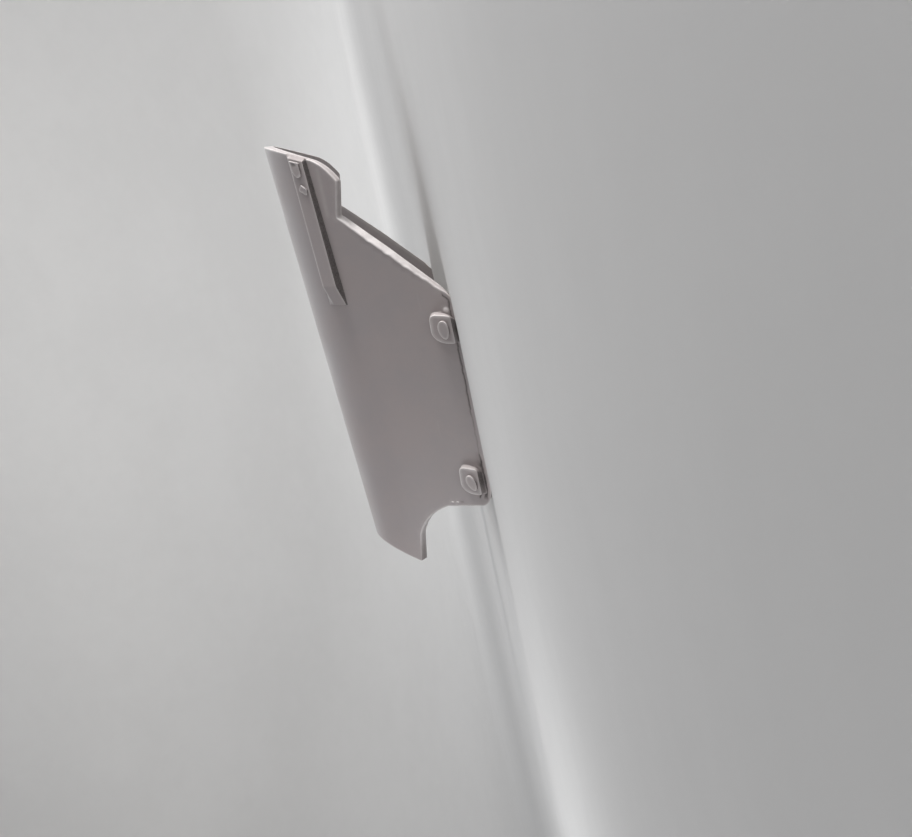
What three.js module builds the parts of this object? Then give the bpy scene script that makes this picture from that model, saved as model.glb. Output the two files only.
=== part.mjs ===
// Moulded thigh plate for the left leg: a rigid shell with a long front ridge, a raised rail on its
// outer side, and raised pads with oval studs for two straps that pass behind the thigh.
// Millimetres. The plate lies hollow side down on its rear edges: +X is its hip end, +Z its front
// ridge and -Y its outer side. The origin is on the floor below its middle.
//
// A place on the wall is given by s, the distance from the ridge's hip end towards the knee, and
// either by b, the depth behind the front ridge, or by u, which is 0 on the ridge and 1 on a rear edge.
import * as THREE from "three";

const WALL = 6.5;
const GAP = 0.3;
const COLUMNS = 12;

// Half of the U-shaped cross-section is one cubic curve: its depth and half width, the lean of its
// rear edge in degrees, and how long its front and its rear run on before they turn.
const SECTION_SPAN = 320;
const HIP_SECTION = { depth: 109, halfWidth: 94, lean: 10, front: 50, rear: 57 };
const KNEE_SECTION = { depth: 90, halfWidth: 85, lean: 32, front: 46, rear: 34 };

// The outline in side view, from the top rim round the rear to the tip of the lower rim, as s and b.
// Each row of the wall runs from the ridge to one point of it, and ridge is where that row starts.
const OUTLINE = [
  { name: "top rim", end: [17.6, 32.5], ridge: 0 },
  { name: "tab corner", bend: [24, 41], end: [36.5, 46.2], ridge: 16, steps: 4 },
  { name: "step", end: [57.3, 40.1], ridge: 44, steps: 2 },
  { name: "step foot", bend: [61.5, 39.6], end: [68.5, 46], ridge: 60, steps: 3 },
  { name: "slope", end: [126, 95.3], ridge: 116, steps: 5 },
  { name: "rear corner", bend: [132.5, 100.6], end: [137, 100.9], ridge: 128, steps: 2 },
  { name: "rear edge", end: [284, 92.1], ridge: 258, steps: 6 },
  { name: "lower corner", bend: [295.4, 91.4], end: [295.6, 84], ridge: 270, steps: 4 },
  { name: "hem", end: [292.6, 61.5], ridge: 283, steps: 2 },
  { name: "cut-out", bend: [296.6, 43], end: [314, 35.5], ridge: 302, steps: 5 },
  { name: "tip", end: [336.8, 30.1], ridge: 318.8, steps: 3 },
];

// The rail's feet and the edges of its flat face, as u. It grows taller towards its sloped lower end.
const RAIL = { footFront: 0.337, faceFront: 0.37, faceRear: 0.456, footRear: 0.464 };
const RAIL_POINTS = 5;
const RAIL_SLANT = 2;
const RAIL_ROWS = [
  { name: "top rim", s: 13, height: 3.6 },
  { name: "upper quarter", s: 42, height: 4.4 },
  { name: "middle", s: 75, height: 5.2 },
  { name: "ramp start", s: 108, height: 6 },
  { name: "ramp end", s: 123, height: 0.9 },
];

const BOSS = { s: 20, u: 0.409, length: 11.5, width: 9.6, height: 1.6, bevel: 0.7, turn: 6 };
const BOSS_ROUNDING = { hip: 1.2, knee: 4 };
const RAIL_STUD = { s: 36.8, u: 0.418, length: 8, width: 8, height: 1.5, bevel: 0.6, turn: 0 };

// A strap pad is a four-cornered plateau with sloped walls. Its corners are given along the wall
// towards the knee and across it towards the rear edge, and reach is how far each one is rounded.
const PAD = { height: 5.2, slope: 1.9 };
const PAD_CORNERS = [
  { name: "hip front", along: -12, across: -10.3, reach: 5 },
  { name: "hip rear", along: -7.6, across: 7.1, reach: 2.4 },
  { name: "knee rear", along: 14.6, across: 6.9, reach: 2.4 },
  { name: "knee front", along: 12, across: -11.4, reach: 9 },
];
const CORNER_POINTS = 4;
const STRAPS = [
  { name: "upper", s: 155, u: 0.95, along: 1.6, across: -0.3, length: 14, width: 8.8, turn: 6 },
  { name: "lower", s: 273, u: 0.925, along: 2, across: -0.4, length: 13, width: 7.2, turn: 20 },
];
const STRAP_STUD = { height: 1.8, bevel: 0.7 };
const OVAL_POINTS = 16;

// The rear edges carry the plate between these two places.
const REST_HIP = 137;
const REST_KNEE = 284;

const SHELL_COLOUR = 0xc4baba;
const FITTING_COLOUR = 0xc8bebe;

// The wall

function sectionCurve(s) {
  const corners = (shape) => {
    const lean = THREE.MathUtils.degToRad(shape.lean);
    const front = new THREE.Vector2(0, shape.front);
    const edge = new THREE.Vector2(shape.depth, shape.halfWidth);
    const rear = new THREE.Vector2(Math.cos(lean), Math.sin(lean)).multiplyScalar(shape.rear);
    return [new THREE.Vector2(0, 0), front, edge.clone().sub(rear), edge];
  };
  const knee = corners(KNEE_SECTION);
  const blended = corners(HIP_SECTION).map((point, i) => point.lerp(knee[i], s / SECTION_SPAN));
  return new THREE.CubicBezierCurve(...blended);
}

// A point of the outer skin, on the outer side of the leg.
function skinPoint(s, u) {
  const { x: depth, y: halfWidth } = sectionCurve(s).getPoint(u);
  return new THREE.Vector3(-s, -halfWidth, -depth);
}

// The direction out of the wall, square to the outer skin.
function skinNormal(s, u) {
  const tangent = sectionCurve(s).getTangent(u);
  const across = new THREE.Vector3(0, -tangent.y, -tangent.x);
  const along = skinPoint(s + 1, u).sub(skinPoint(s, u));
  const normal = across.cross(along).normalize();
  return normal.z < 0 ? normal.negate() : normal;
}

function wallPoint(s, u, height) {
  return skinPoint(s, u).addScaledVector(skinNormal(s, u), height);
}

// The u at which the section at s is b deep.
function depthToU(s, b) {
  const curve = sectionCurve(s);
  let low = 0;
  let high = 1;
  for (let i = 0; i < 40; i += 1) {
    const middle = (low + high) / 2;
    if (curve.getPoint(middle).x < b) low = middle;
    else high = middle;
  }
  return high;
}

// Where a row of the wall, straight in side view, crosses u.
function rowPlace({ s, ridge }, u, edge) {
  const curve = sectionCurve(s);
  return THREE.MathUtils.lerp(ridge, s, curve.getPoint(u).x / curve.getPoint(edge).x);
}

// Solids

// A closed solid through a row of equal loops. Each loop runs out along one side and back along the
// other, so each end is closed by rungs between its two sides.
function loft(loops) {
  const count = loops[0].length;
  const last = (loops.length - 1) * count;
  const triangles = [];
  for (let row = 0; row < last; row += count) {
    for (let i = 0; i < count; i += 1) {
      const next = (i + 1) % count;
      triangles.push([row + i, row + next, row + count + i]);
      triangles.push([row + next, row + count + next, row + count + i]);
    }
  }
  for (let i = 0; i < count / 2 - 1; i += 1) {
    const back = count - 1 - i;
    triangles.push([i, back, i + 1], [i + 1, back, back - 1]);
    triangles.push([last + i, last + i + 1, last + back], [last + i + 1, last + back - 1, last + back]);
  }
  return facingOut(loops.flat(), triangles);
}

// The geometry of a closed set of triangles, turned over as a whole where they face inwards.
function facingOut(points, triangles) {
  const volume = triangles.reduce((sum, [a, b, c]) => {
    const area = new THREE.Vector3().crossVectors(points[b], points[c]);
    return sum + points[a].dot(area);
  }, 0);
  const outward = volume < 0 ? triangles.map(([a, b, c]) => [a, c, b]) : triangles;
  const geometry = new THREE.BufferGeometry();
  const positions = points.flatMap((point) => point.toArray());
  geometry.setAttribute("position", new THREE.Float32BufferAttribute(positions, 3));
  geometry.setIndex(outward.flat());
  geometry.computeVertexNormals();
  return geometry;
}

function solid(name, geometry, color, roughness) {
  const mesh = new THREE.Mesh(geometry, new THREE.MeshStandardMaterial({ color, roughness, metalness: 0 }));
  mesh.name = name;
  return mesh;
}

// The plate

function outlineRows() {
  let start = OUTLINE[0];
  const rows = [{ s: start.end[0], b: start.end[1], ridge: start.ridge }];
  for (const part of OUTLINE.slice(1)) {
    const from = new THREE.Vector2(...start.end);
    const to = new THREE.Vector2(...part.end);
    const bend = part.bend ? new THREE.Vector2(...part.bend) : from.clone().lerp(to, 0.5);
    const curve = new THREE.QuadraticBezierCurve(from, bend, to);
    for (let i = 1; i <= part.steps; i += 1) {
      const share = i / part.steps;
      const point = curve.getPoint(share);
      rows.push({ s: point.x, b: point.y, ridge: THREE.MathUtils.lerp(start.ridge, part.ridge, share) });
    }
    start = part;
  }
  return rows;
}

// A row's loop: the outer skin from the inner side of the leg round to the outer side, and back along
// the inner skin.
function plateLoop(row) {
  const edge = depthToU(row.s, row.b);
  const outerSkin = [];
  const innerSkin = [];
  for (let i = -COLUMNS; i <= COLUMNS; i += 1) {
    const u = (edge * Math.abs(i)) / COLUMNS;
    const side = new THREE.Vector3(1, i < 0 ? -1 : 1, 1);
    const place = rowPlace(row, u, edge);
    outerSkin.push(wallPoint(place, u, 0).multiply(side));
    innerSkin.unshift(wallPoint(place, u, -WALL).multiply(side));
  }
  return [...outerSkin, ...innerSkin];
}

function thighPlate() {
  return solid("thigh_plate", loft(outlineRows().map(plateLoop)), SHELL_COLOUR, 0.55);
}

// The rail

function railLoop({ s, height }, i) {
  const { footFront, faceFront, faceRear, footRear } = RAIL;
  const rim = outlineRows()[0];
  const place = (u) => {
    if (i === 0) return rowPlace(rim, u, depthToU(rim.s, rim.b));
    return s + (RAIL_SLANT * (u - footFront)) / (footRear - footFront);
  };
  const front = wallPoint(place(faceFront), faceFront, height);
  const rear = wallPoint(place(faceRear), faceRear, height);
  const face = [];
  const base = [];
  for (let k = 0; k < RAIL_POINTS; k += 1) {
    const share = k / (RAIL_POINTS - 1);
    const u = THREE.MathUtils.lerp(footRear, footFront, share);
    face.push(front.clone().lerp(rear, share));
    base.push(wallPoint(place(u), u, GAP));
  }
  return [...face, ...base];
}

function frontRail() {
  return solid("front_rail", loft(RAIL_ROWS.map(railLoop)), SHELL_COLOUR, 0.5);
}

// The rail's flat face at s and u: a point of it, the way out of it and the way towards the knee.
function railFace(s, u) {
  const next = RAIL_ROWS.findIndex((row) => row.s > s);
  const [from, to] = [RAIL_ROWS[next - 1], RAIL_ROWS[next]];
  const corner = (row, edge) => wallPoint(row.s, edge, row.height);
  const share = (s - from.s) / (to.s - from.s);
  const front = corner(from, RAIL.faceFront).lerp(corner(to, RAIL.faceFront), share);
  const rear = corner(from, RAIL.faceRear).lerp(corner(to, RAIL.faceRear), share);
  const along = corner(to, RAIL.faceFront).sub(corner(from, RAIL.faceFront));
  const outward = rear.clone().sub(front).cross(along).normalize();
  if (outward.z < 0) outward.negate();
  return { point: front.lerp(rear, (u - RAIL.faceFront) / (RAIL.faceRear - RAIL.faceFront)), outward, along };
}

// Fittings

// Seats a piece that was made flat: its X turned from along, its Z outwards, its underside on point.
function seat(mesh, { point, outward, along }, turn = 0) {
  const z = outward.clone().normalize();
  const x = along.clone().addScaledVector(z, -along.dot(z)).normalize();
  const y = new THREE.Vector3().crossVectors(z, x);
  mesh.quaternion.setFromRotationMatrix(new THREE.Matrix4().makeBasis(x, y, z));
  mesh.position.copy(point).addScaledVector(z, GAP);
  mesh.rotateZ(THREE.MathUtils.degToRad(turn));
  return mesh;
}

// The outline of a four-cornered piece with each corner rounded, its sides moved in by inset.
function roundedOutline(corners, inset = 0) {
  const places = corners.map(({ along, across }) => {
    return new THREE.Vector2(along - Math.sign(along) * inset, across - Math.sign(across) * inset);
  });
  return corners.flatMap((corner, i) => {
    const here = places[i];
    const reach = Math.max(corner.reach - inset / 2, 1);
    const ends = [places.at(i - 1), places[(i + 1) % places.length]].map((neighbour) => {
      return neighbour.clone().sub(here).setLength(reach).add(here);
    });
    return new THREE.QuadraticBezierCurve(ends[0], here, ends[1]).getPoints(CORNER_POINTS - 1);
  });
}

// An oval outline that starts and turns as the four-cornered ones do.
function ovalOutline({ length, width, along = 0, across = 0, turn = 0 }, inset = 0) {
  const centre = new THREE.Vector2(along, across);
  const points = [];
  for (let i = 0; i < OVAL_POINTS; i += 1) {
    const angle = ((OVAL_POINTS * 0.625 - i - 0.5) * 2 * Math.PI) / OVAL_POINTS;
    const point = new THREE.Vector2(Math.cos(angle) * (length / 2 - inset), Math.sin(angle) * (width / 2 - inset));
    points.push(point.rotateAround(new THREE.Vector2(), THREE.MathUtils.degToRad(turn)).add(centre));
  }
  return points;
}

function atHeight(outline, height, hand = 1) {
  return outline.map((point) => new THREE.Vector3(point.x, point.y * hand, height));
}

// A low stud with straight sides and a chamfered top, as loops that stand on base.
function studLoops(outline, { height, bevel }, base = 0, hand = 1) {
  return [
    atHeight(outline(0), base, hand),
    atHeight(outline(0), base + height - bevel, hand),
    atHeight(outline(bevel), base + height, hand),
  ];
}

function railBoss() {
  const { length, width, turn } = BOSS;
  const corner = (alongSign, acrossSign, reach) => {
    return { along: (alongSign * length) / 2, across: (acrossSign * width) / 2, reach };
  };
  const { hip, knee } = BOSS_ROUNDING;
  const corners = [corner(-1, -1, hip), corner(-1, 1, hip), corner(1, 1, knee), corner(1, -1, knee)];
  const geometry = loft(studLoops((inset) => roundedOutline(corners, inset), BOSS));
  return seat(solid("rail_boss", geometry, FITTING_COLOUR, 0.45), railFace(BOSS.s, BOSS.u), turn);
}

function railStud() {
  const geometry = loft(studLoops((inset) => ovalOutline(RAIL_STUD, inset), RAIL_STUD));
  return seat(solid("rail_stud", geometry, FITTING_COLOUR, 0.45), railFace(RAIL_STUD.s, RAIL_STUD.u));
}

function padLoops(hand = 1) {
  return [
    atHeight(roundedOutline(PAD_CORNERS), 0, hand),
    atHeight(roundedOutline(PAD_CORNERS, PAD.slope), PAD.height, hand),
  ];
}

// The wall at a strap's place, or a plane above it, on the outer side (hand 1) or the inner side (-1).
function strapSeat({ s, u }, height, hand = 1) {
  const side = new THREE.Vector3(1, hand, 1);
  const outward = skinNormal(s, u).multiply(side);
  const along = skinPoint(s + 1, u).sub(skinPoint(s, u)).multiply(side);
  return { point: wallPoint(s, u, height).multiply(side), outward, along };
}

function strapPad(strap) {
  const mesh = solid(`strap_pad_${strap.name}`, loft(padLoops()), SHELL_COLOUR, 0.5);
  return seat(mesh, strapSeat(strap, 0));
}

function strapStud(strap) {
  const geometry = loft(studLoops((inset) => ovalOutline(strap, inset), STRAP_STUD));
  const mesh = solid(`strap_stud_${strap.name}`, geometry, FITTING_COLOUR, 0.45);
  return seat(mesh, strapSeat(strap, PAD.height + GAP));
}

// A pad of the inner side, mirrored and in one piece with its stud.
function innerPad(strap) {
  const size = { ...STRAP_STUD, height: STRAP_STUD.height + GAP };
  const stud = studLoops((inset) => ovalOutline(strap, inset), size, PAD.height, -1);
  const geometry = loft([...padLoops(-1), ...stud]);
  return seat(solid(`inner_pad_${strap.name}`, geometry, SHELL_COLOUR, 0.5), strapSeat(strap, 0, -1));
}

// The whole plate, at rest on its two rear edges.
function atRest(plate) {
  const run = wallPoint(REST_HIP, 1, -WALL).sub(wallPoint(REST_KNEE, 1, -WALL));
  plate.rotation.y = Math.atan2(run.z, run.x);
  const box = new THREE.Box3().setFromObject(plate, true);
  plate.position.set(-(box.min.x + box.max.x) / 2, 0, -box.min.z);
  return plate;
}

const armour = new THREE.Group();
armour.add(thighPlate(), frontRail(), railBoss(), railStud());
for (const strap of STRAPS) {
  armour.add(strapPad(strap), strapStud(strap), innerPad(strap));
}

export default new THREE.Group().add(atRest(armour));
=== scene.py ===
import math

import bpy
import numpy as np
from mathutils import Matrix, Vector
from mathutils.geometry import delaunay_2d_cdt
from mathutils.kdtree import KDTree


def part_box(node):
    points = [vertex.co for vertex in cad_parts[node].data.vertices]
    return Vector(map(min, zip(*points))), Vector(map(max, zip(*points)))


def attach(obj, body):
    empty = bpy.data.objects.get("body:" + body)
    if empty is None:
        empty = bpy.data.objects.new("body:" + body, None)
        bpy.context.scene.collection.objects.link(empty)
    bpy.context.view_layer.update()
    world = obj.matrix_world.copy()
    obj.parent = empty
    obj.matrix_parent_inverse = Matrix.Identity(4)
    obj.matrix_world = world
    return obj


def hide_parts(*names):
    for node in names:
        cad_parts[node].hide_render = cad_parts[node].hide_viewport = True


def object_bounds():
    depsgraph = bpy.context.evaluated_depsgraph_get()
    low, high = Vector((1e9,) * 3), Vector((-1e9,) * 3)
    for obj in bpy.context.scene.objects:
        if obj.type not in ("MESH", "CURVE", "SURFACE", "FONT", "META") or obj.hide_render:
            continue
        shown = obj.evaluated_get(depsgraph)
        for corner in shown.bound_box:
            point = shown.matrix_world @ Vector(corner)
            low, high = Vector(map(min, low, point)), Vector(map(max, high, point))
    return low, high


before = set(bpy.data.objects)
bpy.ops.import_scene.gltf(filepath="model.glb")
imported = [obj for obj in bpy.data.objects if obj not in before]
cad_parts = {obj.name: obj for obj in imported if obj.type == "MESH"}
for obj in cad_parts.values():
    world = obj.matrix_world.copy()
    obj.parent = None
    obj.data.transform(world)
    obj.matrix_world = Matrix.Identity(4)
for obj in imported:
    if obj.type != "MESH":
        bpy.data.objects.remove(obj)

CAD_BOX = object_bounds()
MM = 0.001
TINY = 1e-9

# Driving sizes in millimetres. A place on the wall is s, from the ridge's hip end towards the knee, and
# u, which is 0 on the ridge and 1 on the rear edge of the outer side; b is the depth behind the ridge.
WALL = 6.5
# The sections at both ends of the span: depth, half width, how far the rear edge leans in degrees, and the
# lengths of the curve's handles at the ridge and the rear edge. A middle section lays the wall flat.
SECTION_SPAN = 320.0
HIP_SECTION = {"depth": 109.0, "half_width": 94.0, "lean": 10.0, "front": 50.0, "rear": 57.0}
KNEE_SECTION = {"depth": 90.0, "half_width": 85.0, "lean": 32.0, "front": 46.0, "rear": 34.0}
FLAT_SECTION = 160.0

# The outline in side view as s and b, from the top rim round the rear to the ridge's knee end, with how
# the edge is moulded at the end of each part. Edge is how far it is rounded over, back is how far the
# outer skin stops short of the outline, lean is how far the inner skin reaches beyond it, uneven is how
# much the outer skin's end wanders, and the last value is how light the rim's face is made by wear
# and painted highlight, or below 0 how dark it is made by painted shade.
OUTLINE = [
    {"name": "top rim", "end": (17.6, 32.5),
     "edge": 0.45, "back": 0.0, "lean": -0.9, "uneven": 0.04, "wear_and_painted_light": 0.4},
    {"name": "tab corner", "bend": (24.0, 41.0), "end": (36.5, 46.2),
     "edge": 0.45, "back": 0.0, "lean": 0.2, "uneven": 0.04, "wear_and_painted_light": 0.15},
    {"name": "step", "end": (60.3, 39.75),
     "edge": 0.45, "back": 0.1, "lean": 0.3, "uneven": 0.04, "wear_and_painted_light": 0.15},
    {"name": "step foot", "bend": (61.7, 39.6), "end": (63.0, 41.3),
     "edge": 0.5, "back": 0.2, "lean": 1.0, "uneven": 0.1, "wear_and_painted_light": 1.0},
    {"name": "upper slope", "end": (93.0, 67.0),
     "edge": 0.5, "back": 0.6, "lean": 1.7, "uneven": 0.65, "wear_and_painted_light": 1.0},
    {"name": "lower slope", "end": (126.0, 95.3),
     "edge": 0.6, "back": 0.1, "lean": 1.0, "uneven": 0.45, "wear_and_painted_light": 0.4},
    {"name": "rear corner", "bend": (132.5, 100.6), "end": (137.0, 100.9),
     "edge": 0.6, "back": -3.2, "lean": 0.0, "uneven": 0.1, "wear_and_painted_light": 0.5},
    {"name": "rear edge", "end": (284.0, 92.1),
     "edge": 0.6, "back": -4.8, "lean": 0.0, "uneven": 0.0, "wear_and_painted_light": 0.5},
    {"name": "lower corner", "bend": (295.4, 91.4), "end": (295.6, 84.0),
     "edge": 0.7, "back": 0.0, "lean": 0.0, "uneven": 0.0, "wear_and_painted_light": 0.15},
    {"name": "hem", "end": (292.6, 61.5),
     "edge": 0.6, "back": 0.0, "lean": 0.0, "uneven": 0.0, "wear_and_painted_light": 0.15},
    {"name": "cut-out", "bend": (296.6, 43.0), "end": (314.0, 35.5),
     "edge": 0.5, "back": 0.2, "lean": 0.5, "uneven": 0.05, "wear_and_painted_light": 0.3},
    {"name": "tip", "end": (336.8, 30.1),
     "edge": 0.35, "back": 0.0, "lean": 0.9, "uneven": 0.0, "wear_and_painted_light": -0.35},
    {"name": "lower rim", "end": (318.8, 0.0),
     "edge": 0.5, "back": 0.0, "lean": 0.0, "uneven": 0.04, "wear_and_painted_light": 0.15},
]
MOULDED = ("edge", "back", "lean", "uneven", "wear_and_painted_light")
# How far corners of the outline and changes of its moulding are eased along the edge.
CORNER_EASE = 0.65
MOULDING_EASE = 0.6
# The wandering of an edge as length of wave and share of the whole, and where its waves start.
WANDER_WAVES = [(37.0, 0.3), (15.3, 0.32), (8.1, 0.25), (5.3, 0.13)]
EDGE_WANDER_START = 1.7
CREASE_WANDER_START = 0.4

# How finely the plate's mesh is laid out: steps in each part of the outline, places over each corner of the
# moulded edge, and the spacing of places along the edge and over the skin.
PART_STEPS = 160
EDGE_STEPS = 5
EDGE_SPACING = 0.9
FINE_SPACING = EDGE_SPACING / 3
SKIN_SPACING = 3.2
# Rows of places beside the crease, beside the feet of raised parts and inside the moulded edge.
CREASE_FILL = (1.2, 1.6, 2.0, 2.4, 2.8, 3.2, 3.7, 4.2, 4.8, 5.5)
FOOT_FILL = (0.0, 1.3, 2.6)
FOOT_SPACING = 1.0
EDGE_FILL = 0.9
# How close places may lie, in millimetres: on a flaw, from a flaw, where there is detail, from the moulded
# edge, and from all these as a share of the skin's own spacing.
FLAW_GAP = 0.2
FLAW_CLEAR = 0.4
DETAIL_GAP = 0.5
EDGE_CLEAR = 0.55
SPREAD_CLEAR = 0.55
# A flaw's patch of places reaches this many widths round it, with places this share of its width apart.
FLAW_REACH = 2.6
FLAW_SPACING = 0.75
# Places closer than this are taken as one.
SAME_PLACE = 1e-6
# The plate's two materials, by their place in its list: the outer skin with the edge, and the inner skin.
OUTER_LOOK = 0
INNER_LOOK = 1
# The flat rectangle that the whole skin lies in, and a place well inside it.
SKIN_LOW = (-2.0, -175.0)
SKIN_HIGH = (340.0, 175.0)
SKIN_MIDDLE = (150.0, 0.0)

# The crease that runs just inside each rear edge, as s, inset from the edge, depth and width.
CREASE_ROWS = [
    (131.0, 1.6, 0.4, 0.38),
    (190.0, 1.9, 0.5, 0.38),
    (212.0, 2.3, 0.45, 0.36),
    (226.0, 2.6, 0.14, 0.36),
    (253.0, 2.8, 0.12, 0.4),
    (262.0, 3.0, 0.7, 0.55),
    (290.0, 3.2, 0.75, 0.75),
]
# How far the crease wanders sideways, how much its depth varies, how many steps the one lags behind the
# other, and how far it is moved in where the skin runs on past the outline to reach the floor.
CREASE_WANDER = 0.5
CREASE_UNEVEN = 0.35
CREASE_LAG = 9
CREASE_SHIFT = 1.6
# The crease keeps to the rear edges, at least this far round the section from the ridge.
CREASE_FROM_RIDGE = 60.0

# Small flaws of the moulding on the outer side: their two ends as s and u, with width and height.
FLAWS = [
    {"name": "hem crease", "ends": ((290.5, 0.814), (290.7, 0.825)), "width": 0.4, "height": -0.16},
    {"name": "first speck", "ends": ((289.5, 0.757), (289.7, 0.765)), "width": 0.32, "height": 0.5},
    {"name": "second speck", "ends": ((290.0, 0.787), (290.2, 0.795)), "width": 0.32, "height": 0.5},
    {"name": "corner nick", "ends": ((285.9, 0.955), (288.4, 0.944)), "width": 0.5, "height": -0.4},
    {"name": "edge pip", "ends": ((142.9, 0.975), (143.6, 0.981)), "width": 0.9, "height": 0.5},
    {"name": "tab stripe", "ends": ((25.0, 0.515), (58.0, 0.497)), "width": 1.3, "height": 0.03},
]

# The rail's feet and the edges of its flat face, as u, and its rows of s and height. The first row follows
# the top rim, and the rear end of the others lies nearer the knee by the slant.
RAIL = {"foot_front": 0.337, "face_front": 0.37, "face_rear": 0.456, "foot_rear": 0.464}
RAIL_SLANT = 2.0
RAIL_RIM = 13.0
RAIL_ROWS = [(RAIL_RIM, 3.6), (42.0, 4.4), (75.0, 5.2), (108.0, 6.0), (123.0, 0.9)]
# The rail's two ends are this high at their foot. The hip end has a slope, the knee end a short step, and
# the underside goes down to its root in the wall.
RAIL_END_HEIGHT = 0.2
RAIL_END_SLOPE = 1.2
RAIL_END_STEP = 0.5
RAIL_ROOT = -1.5
# How far the bends along the rail's rows are eased, from the rim to the foot of the sloped end, and how far
# apart rows lie at most.
RAIL_EASES = [0.5, 6, 6, 0.8, 0.6]
RAIL_SPACING = 1.5
# How far the face's edges are eased: at most and at least, and as a share of the rail's height.
RAIL_EDGE = {"most": 0.4, "least": 0.05, "share": 0.3}
# Steps across the rail: root, sloped front wall, front edge, face, rear edge, rear wall and root.
RAIL_STEPS = [1, 4, *[1] * 5, 9, *[1] * 5, 3, 1]

# What stands on the rail's face. Slope and bevel are how far the side and the eased lip reach inwards.
BOSS = {"s": 20.0, "u": 0.409, "height": 1.3, "slope": 0.35, "bevel": 0.45, "dish": 0.15, "turn": 1.0}
# Corners as along, across, how far the rounding reaches along the side before and the side after, and how
# much of the rounding is cut straight.
BOSS_CORNERS = [(-6.4, -4.7, 1.0, 1.0, 0.0), (-3.0, 4.4, 0.8, 0.8, 0.0), (7.4, 4.5, 4.2, 4.8, 0.2),
                (7.4, -4.8, 4.5, 8.0, 0.45)]
BOSS_HOLLOW = {"at": (-2.8, -0.2), "reach": (1.7, 3.3), "depth": 0.6}
RAIL_STUD = {"s": 36.8, "u": 0.418, "width": 8.0, "height": 1.2, "slope": 0.35, "bevel": 0.4, "dish": 0.2}
RAIL_STUD_CORNERS = [(-4.7, -0.5, 0.8, 0.8, 0.0), (-0.2, 4.9, 1.0, 1.4, 0.0), (4.9, 3.7, 2.6, 2.6, 0.0),
                     (-0.6, -4.2, 2.2, 2.0, 0.0)]

# A pad's wall starts at its root below the skin, flares out at its foot, is faired into its slope and
# eased at its top edge. The flat face is then followed inwards over the margin.
PAD = {"height": 5.5, "slope": 1.4, "edge": 0.6, "flare": 0.7, "root": -0.6, "fairing": 0.6,
       "fairing_end": (0.12, 0.22), "margin": 3.0}
# The pads' feet and flat faces, with corners as for the boss.
PAD_CORNERS = {
    "upper": {"foot": [(-12.2, -9.1, 6.0, 6.0, 0.0), (-8.6, 9.3, 9.0, 6.0, 0.5), (13.3, 9.2, 2.0, 2.0, 0.0),
                       (10.7, -10.1, 14.0, 8.5, 0.3)],
              "face": [(-11.2, -8.5, 5.5, 5.5, 0.0), (-8.0, 7.3, 3.0, 2.0, 0.0), (12.7, 7.1, 1.6, 1.6, 0.0),
                       (10.1, -9.5, 13.0, 8.0, 0.3)]},
    "lower": {"foot": [(-12.2, -8.3, 5.0, 5.0, 0.0), (-8.9, 8.0, 8.0, 5.0, 0.5), (13.0, 7.8, 2.6, 2.6, 0.0),
                       (9.9, -9.6, 12.0, 8.0, 0.25)],
              "face": [(-12.0, -7.7, 5.0, 5.0, 0.0), (-8.4, 6.5, 3.0, 2.0, 0.0), (12.0, 6.2, 2.2, 2.2, 0.0),
                       (9.2, -9.0, 11.5, 7.5, 0.25)]},
}
STRAPS = {
    "upper": {"s": 155.0, "u": 0.95, "centre": (1.4, 0.8), "length": 14.0, "width": 8.1, "turn": 6.0},
    "lower": {"s": 273.0, "u": 0.925, "centre": (1.4, 0.6), "length": 13.0, "width": 7.0, "turn": 20.0},
}
STRAP_STUD = {"height": 1.7, "slope": 0.15, "bevel": 0.4, "dish": 0.15}
# An oval stud is narrower at its knee end by this share.
OVAL_NARROWING = 0.12
# How deep a stud's root goes below the face that it stands on, how far its dish slopes down inside the lip,
# and how far in its top reaches as a share of its width.
STUD_ROOT = -0.4
STUD_DISH_RUN = 1.4
STUD_TOP_REACH = 0.42
STUD_TOP_STEPS = 5
# A hollow in a stud is at its full depth from this inset on.
HOLLOW_EASE = 0.8

# The s of the two places of the inner skin's rear edges that the plate rests on.
REST_HIP = 137.0
REST_KNEE = 284.0

# Edge wear with painted highlight, and painted shade, on the plate: shares, and where they start and how
# they fade in millimetres.
EDGE_WEAR_AND_HIGHLIGHT = {"share": 0.45, "start": 0.5, "fade": 0.4}
# A dark band of painted shade just inside the slopes' rims, and painted shade round the feet of raised
# parts.
SLOPE_PAINTED_SHADE = {"share": 0.4, "middle": 1.5, "fade": 0.6, "least_slant": 0.8, "slant_span": 1.2}
FOOT_PAINTED_SHADE = {"share": 0.25, "fade": 0.9}
# How proud a flaw is when it is wholly lightened with wear and painted highlight, and how deep when it is
# wholly darkened with painted shade.
PROUD_WEAR_AND_HIGHLIGHT = 0.2
SUNK_PAINTED_SHADE = 0.3

# Edge wear with painted highlight, and painted shade, on what stands on the plate. A bend of this many
# radians is wholly lightened.
RING_BEND = 0.25
RAIL_BEND = 0.2
# A bend below this many radians counts as flat.
FLAT_BEND = 0.02
# Edges that face the rear, away from the light, are lightened less, and sides that face the hip, towards
# the light, get a little painted highlight all over.
REAR_FADE = 0.75
RAIL_REAR_FADE = 0.65
HIP_PAINTED_HIGHLIGHT = 0.2
# How far a side faces the rear or the hip; sides that face the rear, away from the light, also get painted
# shade.
REARWARD = {"gain": 1.6, "start": 0.5}
HIPWARD = {"gain": 1.5, "start": 0.4}
# The band below a piece's top that gets no painted shade, at most and as a share of its height.
UNSHADED_TOP = {"most": 0.4, "share": 0.2}
# Painted shade round the foot of each raised piece and in the boss's hollow.
RING_FOOT_PAINTED_SHADE = {"share": 0.35, "fade": 0.4}
HOLLOW_PAINTED_SHADE = 0.8
# The rail's front foot gets painted shade, and so does its rear wall, which is this many points across.
RAIL_FOOT_PAINTED_SHADE = 0.5
RAIL_REAR_POINTS = 5

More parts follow.
